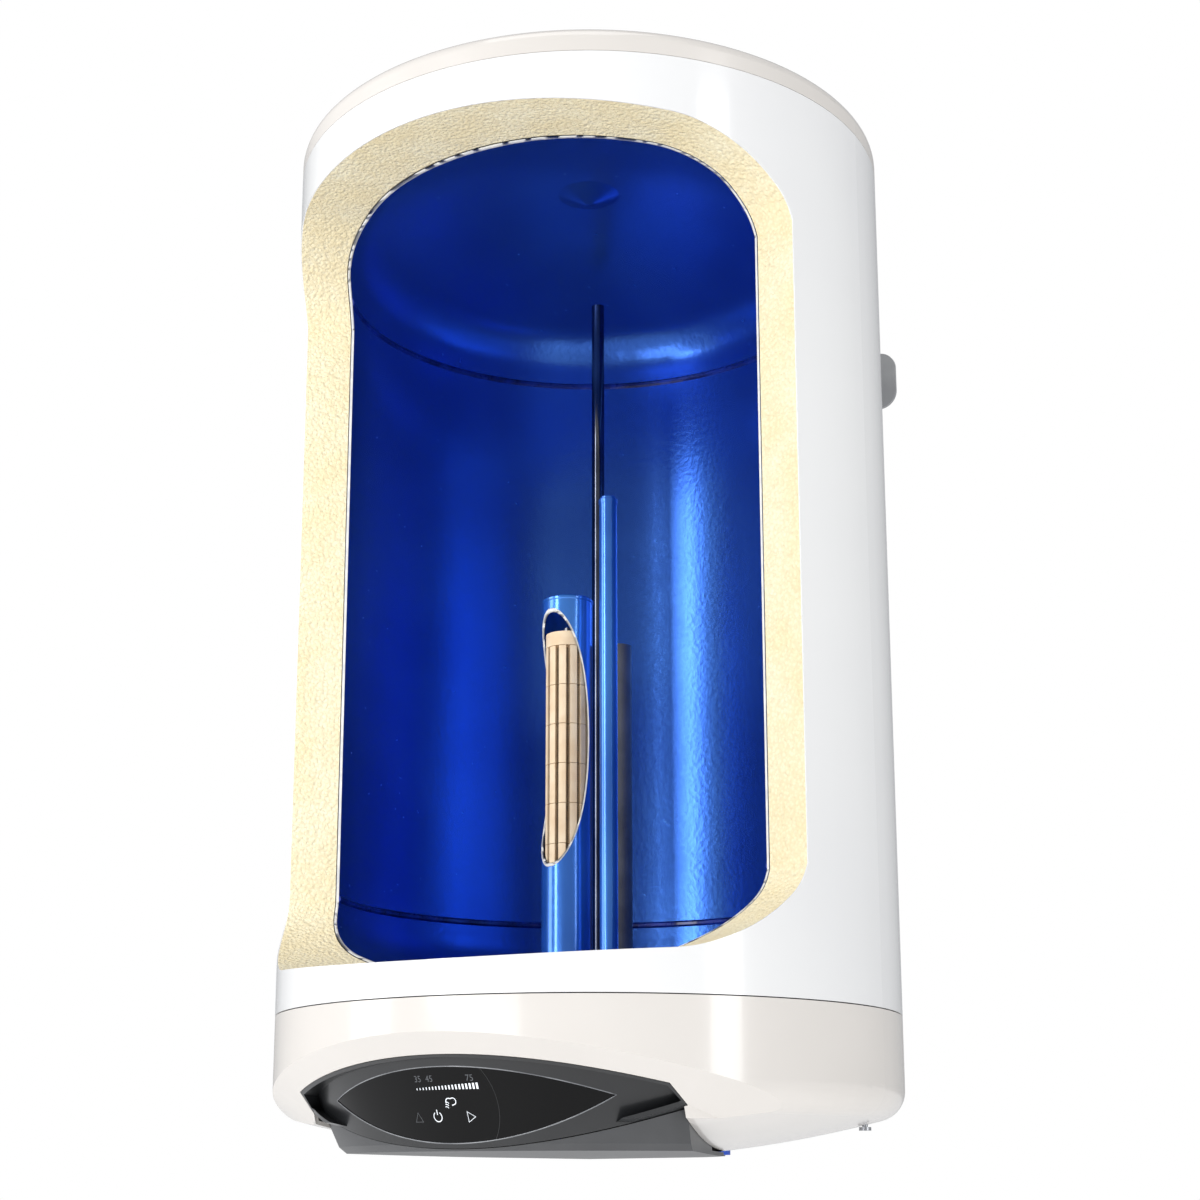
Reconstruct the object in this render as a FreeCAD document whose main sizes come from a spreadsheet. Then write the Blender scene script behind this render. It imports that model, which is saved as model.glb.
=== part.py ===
import FreeCAD, Part
import math
import os
import Sketcher

# Tank water heater, wall hung, shown with a window cut through casing, foam and tank.
# Heater coordinates: z along the tank's axis, zero at the joint between casing and bottom
# cover, front towards -Y. Finished parts are placed so that the part's own origin is the
# middle of the wall bolts, on the wall.

doc = FreeCAD.newDocument("water_heater")
sheet = doc.addObject("Spreadsheet::Sheet", "Dims")


class Size:
    """A number together with the sheet formula that gives it."""

    def __init__(self, number, formula=None):
        self.number = float(number)
        self.formula = formula or repr(float(number))

    def joined(self, other, sign, number):
        return Size(number, "(" + self.formula + sign + other.formula + ")")

    def __add__(self, other):
        other = size(other)
        return self.joined(other, " + ", self.number + other.number)

    def __sub__(self, other):
        other = size(other)
        return self.joined(other, " - ", self.number - other.number)

    def __mul__(self, other):
        other = size(other)
        return self.joined(other, " * ", self.number * other.number)

    def __truediv__(self, other):
        other = size(other)
        return self.joined(other, " / ", self.number / other.number)

    def __neg__(self):
        return size(0) - self

    def __rsub__(self, other):
        return size(other) - self

    __radd__ = __add__
    __rmul__ = __mul__


def size(value):
    return value if isinstance(value, Size) else Size(value)


def leg(long_side, short_side):
    """The other short side of a right triangle."""
    squares = long_side * long_side - short_side * short_side
    return Size(math.sqrt(squares.number), "sqrt" + squares.formula)


DIMENSIONS = {
    # casing, foam and caps
    "casing_radius": 235.0,
    "casing_sheet": 0.8,
    "casing_height": 673.0,
    "cap_seam": 0.4,
    "cap_wall": 2.5,
    "cap_knuckle": 10.0,
    "cap_crown": 1000.0,
    "cap_shoulder": 684.0,
    "cover_wall": 3.0,
    "cover_knuckle": 22.0,
    "cover_crown": 880.0,
    "cover_shoulder": -54.1,
    "base_sheet": 2.5,
    "base_bore": 72.0,
    # tank
    "tank_radius": 197.3,
    "tank_sheet": 2.0,
    "tank_knuckle": 44.0,
    "tank_crown": 382.0,
    "tank_low": 83.0,
    "tank_high": 601.0,
    "weld_low": 95.0,
    "weld_high": 588.0,
    "weld_size": 1.3,
    "foam_gap": 0.8,
    "foam_low_joint": 105.0,
    "foam_high_joint": 575.0,
    "dimple_radius": 25.0,
    "dimple_depth": 9.5,
    # window cut: half width measured across, heights of its middle, rise towards the middle
    "window_half": 217.5,
    "window_low": 23.7,
    "window_top": 639.4,
    "window_corner": 62.5,
    "window_rise_low": 5.8,
    "window_rise_top": 9.0,
    # wall side
    "axis_to_wall": 247.0,
    "bolt_height": 571.0,
    "bracket_width": 350.0,
    "bracket_tall": 51.0,
    "bracket_sheet": 3.0,
    "bolt_spacing": 300.0,
    "bolt_hole": 5.5,
    # flange
    "neck_bore": 50.0,
    "neck_wall": 4.0,
    "flange_radius": 68.0,
    "flange_face": -14.0,
    "collar_thick": 8.0,
    "gasket_thick": 3.0,
    "gasket_radius": 55.0,
    "plate_thick": 6.0,
    "stud_circle": 61.0,
    "stud_radius": 4.0,
    "stud_count": 6,
    # heater
    "sleeve_x": -14.7,
    "sleeve_y": -7.9,
    "sleeve_radius": 19.8,
    "sleeve_wall": 1.5,
    "sleeve_top": 326.0,
    "bite_radius": 235.0,
    "bite_depth": 23.5,
    "bite_height": 217.0,
    "bite_turn": -12.7,
    "segment_radius": 17.0,
    "segment_pitch": 31.25,
    "segment_low": 39.5,
    "segment_count": 8,
    "segment_gap": 0.5,
    "groove_count": 12,
    "groove_width": 3.2,
    "groove_depth": 3.2,
    "coil_radius": 1.2,
    "core_radius": 3.0,
    "ring_tall": 11.0,
    # pocket, anode and pipes
    "pocket_x": 25.2,
    "pocket_y": -14.8,
    "pocket_radius": 7.0,
    "pocket_wall": 1.2,
    "pocket_top": 401.0,
    "anode_x": 10.8,
    "anode_y": 28.5,
    "anode_radius": 11.0,
    "anode_top": 297.0,
    "pipe_x": 50.0,
    "pipe_y": 109.7,
    "pipe_radius": 5.5,
    "pipe_wall": 1.0,
    "pipe_top": 633.0,
    "stub_radius": 10.48,
    "stub_bore": 7.5,
    "stub_end": -100.0,
    "stub_top": 30.0,
    # control panel: a cone about the axis that leans in towards its foot
    "facet_top": -23.5,
    "facet_arch": 540.0,
    "facet_slope": 0.75,
    "belly_top_radius": 215.0,
    "belly_foot_radius": 200.0,
    "panel_top_radius": 214.0,
    "panel_top": -36.0,
    "panel_foot_radius": 186.0,
    "panel_foot": -98.0,
    "panel_thick": 4.0,
    "glass_thick": 2.0,
    "bezel_half": 147.0,
    "bezel_arch": 560.0,
    "bezel_top": -37.5,
    "glass_half": 111.0,
    "glass_top": -45.0,
    "glass_tip": -64.0,
    "glass_foot": -94.5,
    "service_gap": 0.4,
    "service_wall": 2.5,
    "rim_thick": 2.0,
    "side_wall_long": 215.0,
    "facet_wall": 3.6,
    "service_front": 148.0,
    "service_back": 95.0,
    "service_nose": -230.0,
    "service_bend": -140.0,
    "service_heel": 34.0,
    "flank_top": -66.4,
    # thermal cut-out
    "cutout_x": -28.0,
    "cutout_y": 26.0,
    "cutout_radius": 13.0,
    "button_radius": 3.0,
    "button_gap": 0.35,
}


def fill_sheet():
    """One row per dimension, name beside number; returns the sizes by name."""
    sizes = {}
    for row, (name, value) in enumerate(DIMENSIONS.items(), start=1):
        sheet.set("A%d" % row, name)
        sheet.set("B%d" % row, str(value))
        sheet.setAlias("B%d" % row, name)
        sizes[name] = Size(value, "Dims." + name)
    doc.recompute()
    return sizes


D = fill_sheet()


# ---------------------------------------------------------------- ways of making a piece

def bind(target, **properties):
    """Set properties from sizes, with the formula behind each."""
    for name, value in properties.items():
        value = size(value)
        setattr(target, name, value.number)
        target.setExpression(name, value.formula)
    return target


def at(piece, x=0, y=0, z=0, turn=0, axis=(0, 0, 1)):
    """Place a piece in heater coordinates."""
    spot = [size(x), size(y), size(z)]
    base = FreeCAD.Vector(*[value.number for value in spot])
    piece.Placement = FreeCAD.Placement(base, FreeCAD.Rotation(FreeCAD.Vector(*axis), size(turn).number))
    for letter, value in zip("xyz", spot):
        piece.setExpression("Placement.Base." + letter, value.formula)
    if isinstance(turn, Size):
        piece.setExpression("Placement.Rotation.Angle", turn.formula)
    return piece


FINISHED = []


def finish(label, piece, x=0, y=0, z=0, turn=0, axis=(0, 0, 1)):
    """Name a finished sub-part and carry it from heater coordinates to the part's frame."""
    piece.Label = label
    at(piece, x, y - D["axis_to_wall"], z - D["bolt_height"], turn, axis)
    FINISHED.append(piece)
    return piece


def origin_plane(body, role):
    return [plane for plane in body.Origin.OriginFeatures if plane.Role == role][0]


def sketch_outline(sketch, corners):
    """Closed outline. A corner is (x, z), or (x, z, radius, turn) when an arc leaves it:
    turn is 1 for an arc that turns left and -1 for one that turns right."""
    spots = [FreeCAD.Vector(size(c[0]).number, size(c[1]).number, 0) for c in corners]
    ends = []
    for i, corner in enumerate(corners):
        start, stop = spots[i], spots[(i + 1) % len(spots)]
        if len(corner) == 2:
            ends.append((sketch.addGeometry(Part.LineSegment(start, stop)), 1, 2))
            continue
        radius, turn = size(corner[2]).number, corner[3]
        chord = stop - start
        reach = math.sqrt(max(radius ** 2 - chord.Length ** 2 / 4, 0.0))
        left = FreeCAD.Vector(-chord.y, chord.x, 0) / chord.Length
        centre = (start + stop) / 2 + left * reach * turn
        first, last = (start, stop) if turn > 0 else (stop, start)
        angles = [math.atan2(p.y - centre.y, p.x - centre.x) for p in (first, last)]
        circle = Part.Circle(centre, FreeCAD.Vector(0, 0, 1), radius)
        index = sketch.addGeometry(Part.ArcOfCircle(circle, *angles))
        ends.append((index, 1, 2) if turn > 0 else (index, 2, 1))
    for i, (index, start, _) in enumerate(ends):
        before = ends[i - 1]
        sketch.addConstraint(Sketcher.Constraint("Coincident", before[0], before[2], index, start))
        for kind, value, other_axis in (("DistanceX", corners[i][0], -2), ("DistanceY", corners[i][1], -1)):
            value = size(value)
            if value.number == 0:
                sketch.addConstraint(Sketcher.Constraint("PointOnObject", index, start, other_axis))
                continue
            rule = sketch.addConstraint(Sketcher.Constraint(kind, -1, 1, index, start, value.number))
            sketch.setExpression("Constraints[%d]" % rule, value.formula)
        if len(corners[i]) == 4:
            radius = size(corners[i][2])
            rule = sketch.addConstraint(Sketcher.Constraint("Radius", index, radius.number))
            sketch.setExpression("Constraints[%d]" % rule, radius.formula)


def sketch_body(name, plane, corners):
    """A body with one closed sketch on one of its own planes."""
    body = doc.addObject("PartDesign::Body", name)
    sketch = body.newObject("Sketcher::SketchObject", name + "_outline")
    sketch.AttachmentSupport = [(origin_plane(body, plane), "")]
    sketch.MapMode = "FlatFace"
    sketch_outline(sketch, corners)
    return body, sketch


def turned(name, corners):
    """Revolve an outline of (radius, z) corners about the heater's axis."""
    body, sketch = sketch_body(name, "XZ_Plane", corners)
    spin = body.newObject("PartDesign::Revolution", name + "_turn")
    spin.Profile = (sketch, [""])
    spin.ReferenceAxis = (sketch, ["V_Axis"])
    spin.Angle = 360
    return body


def padded(name, plane, corners, depth):
    """Pad an outline; from the XY plane it grows up, from the XZ plane towards the front."""
    body, sketch = sketch_body(name, plane, corners)
    pad = body.newObject("PartDesign::Pad", name + "_pad")
    pad.Profile = (sketch, [""])
    bind(pad, Length=depth)
    return body


def ring(name, inner, outer, low, high):
    return turned(name, [(inner, low), (outer, low), (outer, high), (inner, high)])


def rod(name, radius, low, high, x=0, y=0):
    piece = doc.addObject("Part::Cylinder", name)
    bind(piece, Radius=radius, Height=size(high) - low)
    return at(piece, x, y, low)


def block(name, x, y, z, wide, deep, tall, turn=0, axis=(0, 0, 1)):
    """Box whose corner of least x, y and z is given."""
    piece = doc.addObject("Part::Box", name)
    bind(piece, Length=wide, Width=deep, Height=tall)
    return at(piece, x, y, z, turn, axis)


def cut(name, base, *tools):
    """Base with the tools taken away, one after another."""
    for number, tool in enumerate(tools):
        step = doc.addObject("Part::Cut", "%s_cut%d" % (name, number))
        step.Base = base
        step.Tool = tool
        base = step
    return base


def common(name, base, tool):
    piece = doc.addObject("Part::Common", name)
    piece.Base = base
    piece.Tool = tool
    return piece


def fused(name, pieces):
    piece = doc.addObject("Part::MultiFuse", name)
    piece.Shapes = pieces
    return piece


def group(name, pieces):
    """Separate solids that share one node."""
    piece = doc.addObject("Part::Compound", name)
    piece.Links = pieces
    return piece


def around(radius, angle):
    """Point on a circle about the axis; the angle is in degrees from +X."""
    turn = math.radians(angle)
    return size(radius) * math.cos(turn), size(radius) * math.sin(turn)


def dish(radius, knuckle, crown, shoulder, up, inset=0):
    """Corners of a dished end from its shoulder to the axis: a knuckle arc, then a crown arc.
    up is 1 for a dome above its shoulder and -1 for one below; inset gives the inner face."""
    across = radius - knuckle
    rise = leg(crown - knuckle, across)
    outer_knuckle = knuckle - inset
    outer_crown = crown - inset
    share = outer_crown / (crown - knuckle)
    centre = shoulder - rise * up
    return [
        (radius - inset, shoulder, outer_knuckle, up),
        (across * share, centre + rise * share * up, outer_crown, up),
        (size(0), centre + outer_crown * up),
    ]


def reversed_dish(corners):
    """The same arcs, from the axis back to the shoulder."""
    shoulder, tangent, crown = corners
    return [
        (crown[0], crown[1], tangent[2], -tangent[3]),
        (tangent[0], tangent[1], shoulder[2], -shoulder[3]),
        (shoulder[0], shoulder[1]),
    ]


def dished_shell(name, radius, knuckle, crown, shoulder, rim, wall, up):
    """Shell of even wall with a straight skirt from the rim to the shoulder."""
    outer = dish(radius, knuckle, crown, shoulder, up)
    inner = reversed_dish(dish(radius, knuckle, crown, shoulder, up, wall))
    return turned(name, [(radius, rim)] + outer + inner + [(radius - wall, rim)])


# ---------------------------------------------------------------- shared cutting shapes

def window_section(distance):
    """The window's outline on a flat plane in front of the axis. Every point keeps its height
    and its direction from the axis, so two such sections give radial side faces."""
    half, corner = D["window_half"].number, D["window_corner"].number
    low, top = D["window_low"].number, D["window_top"].number
    centre = half - corner
    top_side = top - D["window_rise_top"].number
    low_side = low + D["window_rise_low"].number

    def spot(across, height):
        turn = math.asin(across / D["casing_radius"].number)
        return FreeCAD.Vector(distance * math.tan(turn), -distance, height)

    def curve(points):
        spline = Part.BSplineCurve()
        spline.interpolate([spot(*point) for point in points])
        return spline.toShape()

    def edge_between(side, low_edge, rise):
        shares = [side * (step / 6.0 - 1.0) for step in range(13)]
        return [(share * centre, low_edge + rise * share * share) for share in shares]

    def corner_between(side, middle, start):
        angles = [math.radians(start + 15 * step) for step in range(7)]
        return [(side * (centre + corner * math.cos(a)), middle + corner * math.sin(a)) for a in angles]

    top_edge = edge_between(1, top, top_side - top)
    low_edge = edge_between(1, low, low_side - low)
    top_right = corner_between(1, top_side - corner, 0)
    low_right = corner_between(1, low_side + corner, -90)
    top_left = [(-u, v) for u, v in top_right]
    low_left = [(-u, v) for u, v in low_right]
    sides = [
        curve(low_edge),
        curve(low_right),
        Part.makeLine(spot(*low_right[-1]), spot(*top_right[0])),
        curve(top_right),
        curve(top_edge[::-1]),
        curve(top_left[::-1]),
        Part.makeLine(spot(*top_left[0]), spot(*low_left[-1])),
        curve(low_left[::-1]),
    ]
    return Part.Wire(sides)


window = doc.addObject("Part::Feature", "window")
window.Shape = Part.makeLoft([window_section(240.0), window_section(20.0)], True, True)

pipe_spots = ((-1, "hot"), (1, "cold"))


def pipe_passages(name, radius, low, high):
    return [rod("%s_%s" % (name, side), radius, low, high, D["pipe_x"] * sign, D["pipe_y"])
            for sign, side in pipe_spots]


# ---------------------------------------------------------------- casing, foam and caps

def make_outer_casing():
    radius = D["casing_radius"]
    wall = ring("casing_wall", radius - D["casing_sheet"], radius, size(0), D["casing_height"])
    finish("outer_casing", cut("casing", wall, window))


def make_top_cap():
    cap = dished_shell("top_cap_shell", D["casing_radius"], D["cap_knuckle"], D["cap_crown"],
                       D["cap_shoulder"], D["casing_height"] + D["cap_seam"], D["cap_wall"], 1)
    finish("top_cap", cap)


def make_base_plate():
    plate = ring("base_ring", D["base_bore"], D["casing_radius"] - D["casing_sheet"],
                 size(0), D["base_sheet"])
    holes = pipe_passages("base_pipe", D["stub_radius"], -5, 10)
    finish("base_plate", cut("base", plate, *holes))


def tank_outline(name):
    """The whole tank as one solid, for cutting its room out of the foam."""
    gap = D["foam_gap"]
    sizes = (D["tank_radius"] + gap, D["tank_knuckle"] + gap, D["tank_crown"] + gap)
    low = dish(*sizes, D["tank_low"], -1)
    high = dish(*sizes, D["tank_high"], 1)
    return turned(name, reversed_dish(low) + high)


def foam_blocks(foam):
    """The foam in eight sectors and three storeys that touch, so that each block is simple in shape.
    The front sector of the middle storey is left out, because the window takes all of it."""
    storeys = {"low": (size(-10), D["foam_low_joint"]),
               "middle": (D["foam_low_joint"], D["foam_high_joint"]),
               "high": (D["foam_high_joint"], size(740))}
    blocks = []
    for storey, (low, high) in storeys.items():
        for number in range(8):
            if storey == "middle" and number == 0:
                continue
            name = "foam_%s_%d" % (storey, number)
            sector = doc.addObject("Part::Cylinder", name + "_sector")
            bind(sector, Radius=D["casing_radius"] + 20, Height=high - low, Angle=45)
            at(sector, 0, 0, low, number * 45.0 - 112.5)
            blocks.append(common(name, foam, sector))
    return blocks


def make_insulation_foam():
    outer = D["casing_radius"] - D["casing_sheet"]
    inside_cap = dish(D["casing_radius"], D["cap_knuckle"], D["cap_crown"], D["cap_shoulder"], 1,
                      D["cap_wall"])
    step = D["casing_height"]
    corners = [(size(0), D["base_sheet"]), (outer, D["base_sheet"]), (outer, step)]
    corners += [(D["casing_radius"] - D["cap_wall"], step)] + inside_cap
    filling = turned("foam_filling", corners)
    middle = rod("foam_middle", D["base_bore"], 0, 40)
    pipes = pipe_passages("foam_pipe", D["stub_radius"], -5, 60)
    foam = cut("foam", filling, tank_outline("foam_tank_room"), window, middle, *pipes)
    finish("insulation_foam", group("foam_blocks", foam_blocks(foam)))


# ---------------------------------------------------------------- tank

def top_dome_outline():
    """Dished end whose middle is pressed down into the tank as a shallow cone."""
    ends = (D["tank_radius"], D["tank_knuckle"], D["tank_crown"], D["tank_high"], 1)
    dimple, depth, sheet_thick = D["dimple_radius"], D["dimple_depth"], D["tank_sheet"]
    outer = dish(*ends)
    inner = dish(*ends, sheet_thick)
    centre = outer[2][1] - D["tank_crown"]
    outer_lip = centre + leg(D["tank_crown"], dimple)
    inner_lip = centre + leg(D["tank_crown"] - sheet_thick, dimple)
    inner_arc = (dimple, inner_lip, inner[1][2], -1)
    back = reversed_dish(inner)[1:]
    return ([(D["tank_radius"], D["weld_high"])] + outer[:2]
            + [(dimple, outer_lip), (size(0), outer_lip - depth), (size(0), inner_lip - depth), inner_arc]
            + back + [(D["tank_radius"] - sheet_thick, D["weld_high"])])


def make_tank():
    inner = D["tank_radius"] - D["tank_sheet"]
    wall = ring("tank_wall", inner, D["tank_radius"], D["weld_low"], D["weld_high"])
    finish("tank_cylinder", cut("tank", wall, window))
    top = turned("top_dome_shell", top_dome_outline())
    finish("tank_top_dome", cut("top_dome", top, window))
    low = dished_shell("bottom_dome_shell", D["tank_radius"], D["tank_knuckle"], D["tank_crown"],
                       D["tank_low"], D["weld_low"], D["tank_sheet"], -1)
    mouth = rod("dome_mouth", D["neck_bore"] + D["neck_wall"], -10, 30)
    pipes = pipe_passages("dome_pipe", D["stub_radius"], -5, 60)
    finish("tank_bottom_dome", cut("bottom_dome", low, window, mouth, *pipes))


def make_weld_beads():
    inner, bead = D["tank_radius"] - D["tank_sheet"], D["weld_size"]
    for name, height in (("lower_weld_bead", D["weld_low"]), ("upper_weld_bead", D["weld_high"])):
        corners = [(inner, height - bead * 2), (inner, height + bead * 2),
                   (inner - bead, height + bead * 0.8), (inner - bead, height - bead * 0.8)]
        finish(name, cut(name, turned(name + "_ring", corners), window))


# ---------------------------------------------------------------- flange

def stud_spots():
    count = int(D["stud_count"].number)
    return [around(D["stud_circle"], 30 + 360 * number / count) for number in range(count)]


def make_flange():
    face = D["flange_face"]
    bore = D["neck_bore"]
    throat = bore + D["neck_wall"]
    collar_top = face + D["collar_thick"]
    neck = turned("neck_ring", [(bore, face), (D["flange_radius"], face), (D["flange_radius"], collar_top),
                                (throat, collar_top), (throat, size(9)), (bore, size(9))])
    finish("flange_neck", neck)
    plate_top = face - D["gasket_thick"]
    plate_low = plate_top - D["plate_thick"]
    finish("flange_gasket", ring("gasket_ring", bore, D["gasket_radius"], plate_top, face))
    disc = rod("plate_disc", D["flange_radius"], plate_low, plate_top)
    holes = [rod("plate_stud_hole%d" % n, D["stud_radius"], plate_low - 1, plate_top + 1, *spot)
             for n, spot in enumerate(stud_spots())]
    holes.append(rod("plate_sleeve_hole", D["sleeve_radius"], plate_low - 1, plate_top + 1,
                     D["sleeve_x"], D["sleeve_y"]))
    holes.append(rod("plate_pocket_hole", D["pocket_radius"], plate_low - 1, plate_top + 1,
                     D["pocket_x"], D["pocket_y"]))
    holes.append(rod("plate_anode_hole", D["stud_radius"], plate_low - 1, plate_top + 1,
                     D["anode_x"], D["anode_y"]))
    finish("flange_plate", cut("plate", disc, fused("plate_holes", holes)))
    studs = [rod("stud%d" % n, D["stud_radius"], plate_low - 13, face, *spot)
             for n, spot in enumerate(stud_spots())]
    finish("flange_studs", group("studs", studs))
    nuts = [nut("nut%d" % n, plate_low - 6.5, *spot) for n, spot in enumerate(stud_spots())]
    finish("flange_nuts", group("nuts", nuts))
    return plate_low


def nut(name, low, x, y, across=13.0, tall=6.5):
    """Hexagon nut with a bore of the stud's size; its top is on the face above."""
    hexagon = doc.addObject("Part::Prism", name + "_hexagon")
    hexagon.Polygon = 6
    bind(hexagon, Circumradius=across / math.sqrt(3), Height=tall)
    at(hexagon, x, y, low)
    return cut(name, hexagon, rod(name + "_bore", D["stud_radius"], low - 1, low + tall + 1, x, y))


# ---------------------------------------------------------------- heater

def make_sleeve(foot):
    x, y = D["sleeve_x"], D["sleeve_y"]
    radius, wall, top = D["sleeve_radius"], D["sleeve_wall"], D["sleeve_top"]
    tube = ring("sleeve_tube", radius - wall, radius, foot, top)
    bite = doc.addObject("Part::Cylinder", "sleeve_bite")
    bind(bite, Radius=D["bite_radius"], Height=60)
    reach = D["bite_radius"] + radius - D["bite_depth"]
    bite.Placement = FreeCAD.Placement(FreeCAD.Vector(-30, -reach.number, D["bite_height"].number),
                                       FreeCAD.Rotation(FreeCAD.Vector(0, 1, 0), 90))
    bite.setExpression("Placement.Base.y", (-reach).formula)
    bite.setExpression("Placement.Base.z", D["bite_height"].formula)
    finish("heater_sleeve", cut("sleeve", tube, bite), x, y, 0, D["bite_turn"])
    cap = turned("sleeve_cap", [(size(0), top), (radius, top), (radius + 0.5, top + 0.8),
                                (radius + 0.5, top + 2.2),
                                (radius - 1, top + 3.6), (size(0), top + 4.4)])
    finish("heater_sleeve_cap", cap, x, y)


def segment_blank(name, radius, low, tall):
    """Ceramic body with a bore for the core and open grooves round its side."""
    body = ring(name + "_body", D["core_radius"], radius, size(0), tall)
    count = int(D["groove_count"].number)
    grooves = []
    for number in range(count):
        groove = doc.addObject("Part::Box", "%s_groove%d" % (name, number))
        bind(groove, Length=D["groove_depth"] + 2, Width=D["groove_width"], Height=size(tall) + 2)
        angle = 360.0 * number / count
        turn = math.radians(angle)
        start = (radius - D["groove_depth"]).number
        half = D["groove_width"].number / 2
        base = FreeCAD.Vector(start * math.cos(turn) + half * math.sin(turn),
                              start * math.sin(turn) - half * math.cos(turn), -1)
        groove.Placement = FreeCAD.Placement(base, FreeCAD.Rotation(FreeCAD.Vector(0, 0, 1), angle))
        grooves.append(groove)
    piece = cut(name, body, fused(name + "_grooves", grooves))
    return at(piece, 0, 0, low)


def make_heater(foot):
    x, y = D["sleeve_x"], D["sleeve_y"]
    pitch, gap = D["segment_pitch"], D["segment_gap"]
    count = int(D["segment_count"].number)
    segments = []
    for n in range(count):
        low = D["segment_low"] + pitch * n
        segments.append(segment_blank("segment%d" % n, D["segment_radius"], low, pitch - gap))
    finish("heater_segments", group("segments", segments), x, y)
    top = D["segment_low"] + pitch * count
    end_ring = ring("end_ring", D["core_radius"], D["segment_radius"], top, top + D["ring_tall"])
    finish("heater_end_ring", end_ring, x, y)
    track = D["segment_radius"] - D["groove_depth"] + D["coil_radius"]
    coils = []
    for number in range(int(D["groove_count"].number)):
        spot = around(track, 360.0 * number / D["groove_count"].number)
        coils.append(rod("coil%d" % number, D["coil_radius"], D["segment_low"] + 1, top - 1, *spot))
    finish("heating_coils", group("coils", coils), x, y)
    head_low = foot - 16
    finish("heater_core_rod", rod("core_rod", D["core_radius"], foot, top + D["ring_tall"] + 6), x, y, foot)
    head = rod("head_disc", D["sleeve_radius"] - 1, head_low, foot)
    pins = [rod("pin%d" % n, 2.0, head_low - 9, head_low, side * 9.0, 0) for n, side in enumerate((-1, 1))]
    finish("heater_terminal_head", head, x, y, head_low)
    finish("heater_terminal_pins", group("pins", pins), x, y)


# ---------------------------------------------------------------- pocket, anode and pipes

def make_pocket(foot):
    x, y = D["pocket_x"], D["pocket_y"]
    radius, wall, top = D["pocket_radius"], D["pocket_wall"], D["pocket_top"]
    finish("sensor_pocket", ring("pocket_tube", radius - wall, radius, foot, top), x, y)
    cap = turned("pocket_cap", [(size(0), top), (radius + 0.4, top), (radius + 0.4, top + 3.6),
                                (radius - 0.8, top + 4.4),
                                (radius - 0.8, top + 5.4), (radius - 2, top + 6.5), (size(0), top + 6.5)])
    finish("sensor_pocket_cap", cap, x, y)
    finish("temperature_sensor", rod("probe", D["pocket_radius"] - D["pocket_wall"] - 1.5, foot - 12, 150),
           x, y, foot - 12)


def make_anode(foot):
    x, y = D["anode_x"], D["anode_y"]
    bar_low = D["flange_face"] - D["gasket_thick"] + 4
    finish("anode_rod", rod("anode_bar", D["anode_radius"], bar_low, D["anode_top"]), x, y, bar_low)
    finish("anode_stud", rod("anode_thread", D["stud_radius"], foot - 12, bar_low), x, y, foot - 12)
    finish("anode_nut", nut("anode_lock", foot - 6.5, 0, 0), x, y)


def make_pipes():
    bore, outer = D["stub_bore"], D["stub_radius"]
    pipe, top = D["pipe_radius"], D["stub_top"]
    y = D["pipe_y"]
    for name, sign in (("hot_outlet_stub", -1), ("cold_inlet_stub", 1)):
        corners = [(bore, D["stub_end"]), (outer, D["stub_end"]), (outer, top), (pipe, top), (pipe, size(10)),
                   (bore, size(10))]
        finish(name, turned(name + "_tube", corners), D["pipe_x"] * sign, y)
    pipe_bore, pipe_foot, riser_top = pipe - D["pipe_wall"], size(10), size(46)
    finish("hot_outlet_pipe", ring("riser", pipe_bore, pipe, pipe_foot, D["pipe_top"]), -D["pipe_x"], y)
    finish("inlet_riser", ring("short_riser", pipe_bore, pipe, pipe_foot, riser_top), D["pipe_x"], y)
    cap_corners = [(size(0), size(50)), (size(20), size(50)), (size(24), size(44)), (size(25.5), size(44)),
                   (size(21), size(52)), (size(0), size(52))]
    cap = turned("diffuser_cap", cap_corners)
    legs = [rod("diffuser_leg%d" % n, 1.5, 46, 50.5, *around(pipe - 0.5, 120 * n)) for n in range(3)]
    finish("inlet_diffuser", fused("diffuser", [cap] + legs), D["pipe_x"], y)
    for name, sign in (("hot_ring", -1), ("cold_ring", 1)):
        finish(name, ring(name + "_collar", outer, outer + 4, size(-99), size(-90)), D["pipe_x"] * sign, y)


# ---------------------------------------------------------------- bottom cover and control panel

def panel_cone(name, inset, thick):
    """Conical wall that the bezel and the glass are parts of."""
    top, foot = D["panel_top"], D["panel_foot"]
    high, low = D["panel_top_radius"] - inset, D["panel_foot_radius"] - inset
    return turned(name, [(low - thick, foot), (low, foot), (high, top), (high - thick, top)])


def lens_prism(name, half, top, foot, tip, growth=0):
    """Almond outline of two arcs, carried back from the front."""
    half, growth = size(half), size(growth)
    wide = half + growth
    upper, lower = size(top) + growth - tip, size(tip) - foot + growth
    upper_radius = (wide * wide + upper * upper) / (upper * 2)
    lower_radius = (wide * wide + lower * lower) / (lower * 2)
    corners = [(-wide, size(tip), upper_radius, -1), (wide, size(tip), lower_radius, -1)]
    return at(padded(name, "XZ_Plane", corners, 170), 0, -100, 0)


def bezel_prism(name, growth=0):
    """The bezel's outline: an arched top, slanted ends and an arched foot."""
    growth = size(growth)
    half, arch = D["bezel_half"] + growth, D["bezel_arch"] + growth
    top = D["bezel_top"] + growth
    shoulder = top - (arch - leg(arch, half))
    foot = D["panel_foot"] - growth
    toe = half + 3
    toe_height = shoulder - 13 - growth * 2
    drop = toe_height - foot
    foot_radius = (toe * toe + drop * drop) / (drop * 2)
    corners = [(-half, shoulder, arch, -1), (half, shoulder), (toe, toe_height, foot_radius, -1),
               (-toe, toe_height)]
    return at(padded(name, "XZ_Plane", corners, 170), 0, -100, 0)


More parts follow.
